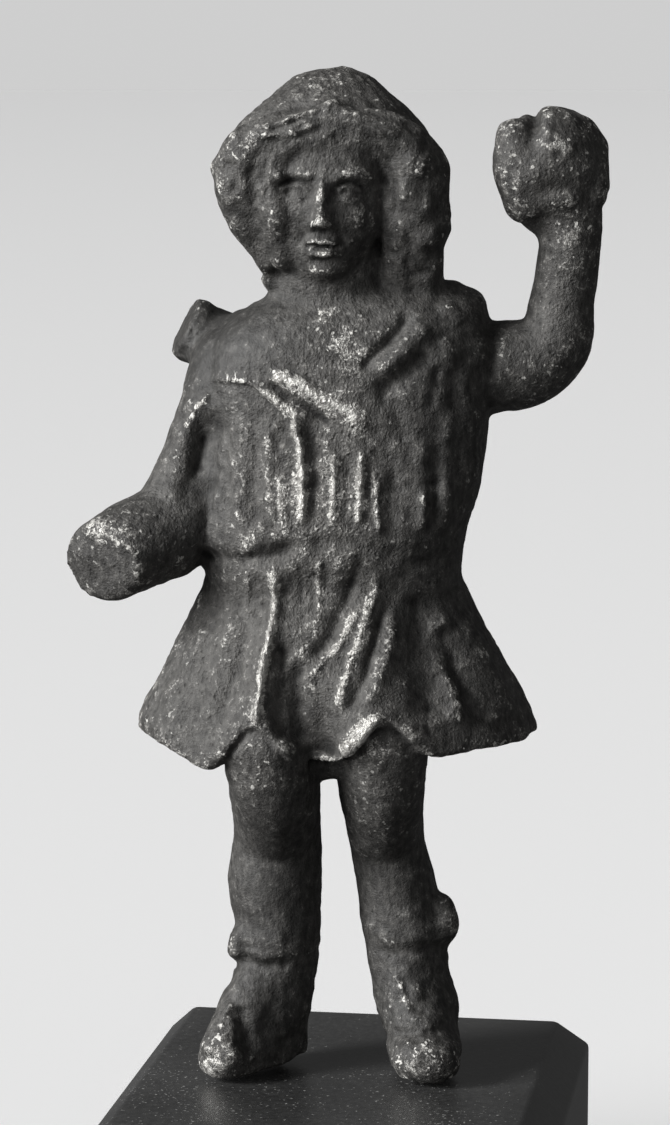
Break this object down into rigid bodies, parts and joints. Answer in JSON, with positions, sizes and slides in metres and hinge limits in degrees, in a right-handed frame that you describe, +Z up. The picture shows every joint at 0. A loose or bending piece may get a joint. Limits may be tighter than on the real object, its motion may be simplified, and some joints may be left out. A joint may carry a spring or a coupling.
{
  "type": "statuette",
  "caption": "Small cast bronze statuette of a standing huntress in a short girt tunic, one arm raised and one broken off, on a dark chamfered mount block.",
  "frame": {"origin": "centre of the mount block's underside", "axes": "+Z up, -Y out of the block's front face, +X to the viewer's right; the figure is turned 8.8 degrees anticlockwise on the block"},
  "size_m": [0.0521, 0.0496, 0.1214],
  "materials": {
    "bronze": "dark brown corroded patina with pale worn high points",
    "block_varnish": "black varnish, slightly glossy, with fine dust"
  },
  "bodies": {
    "root": {"figure": "bronze", "mount_block": "block_varnish"}
  },
  "joints": []
}
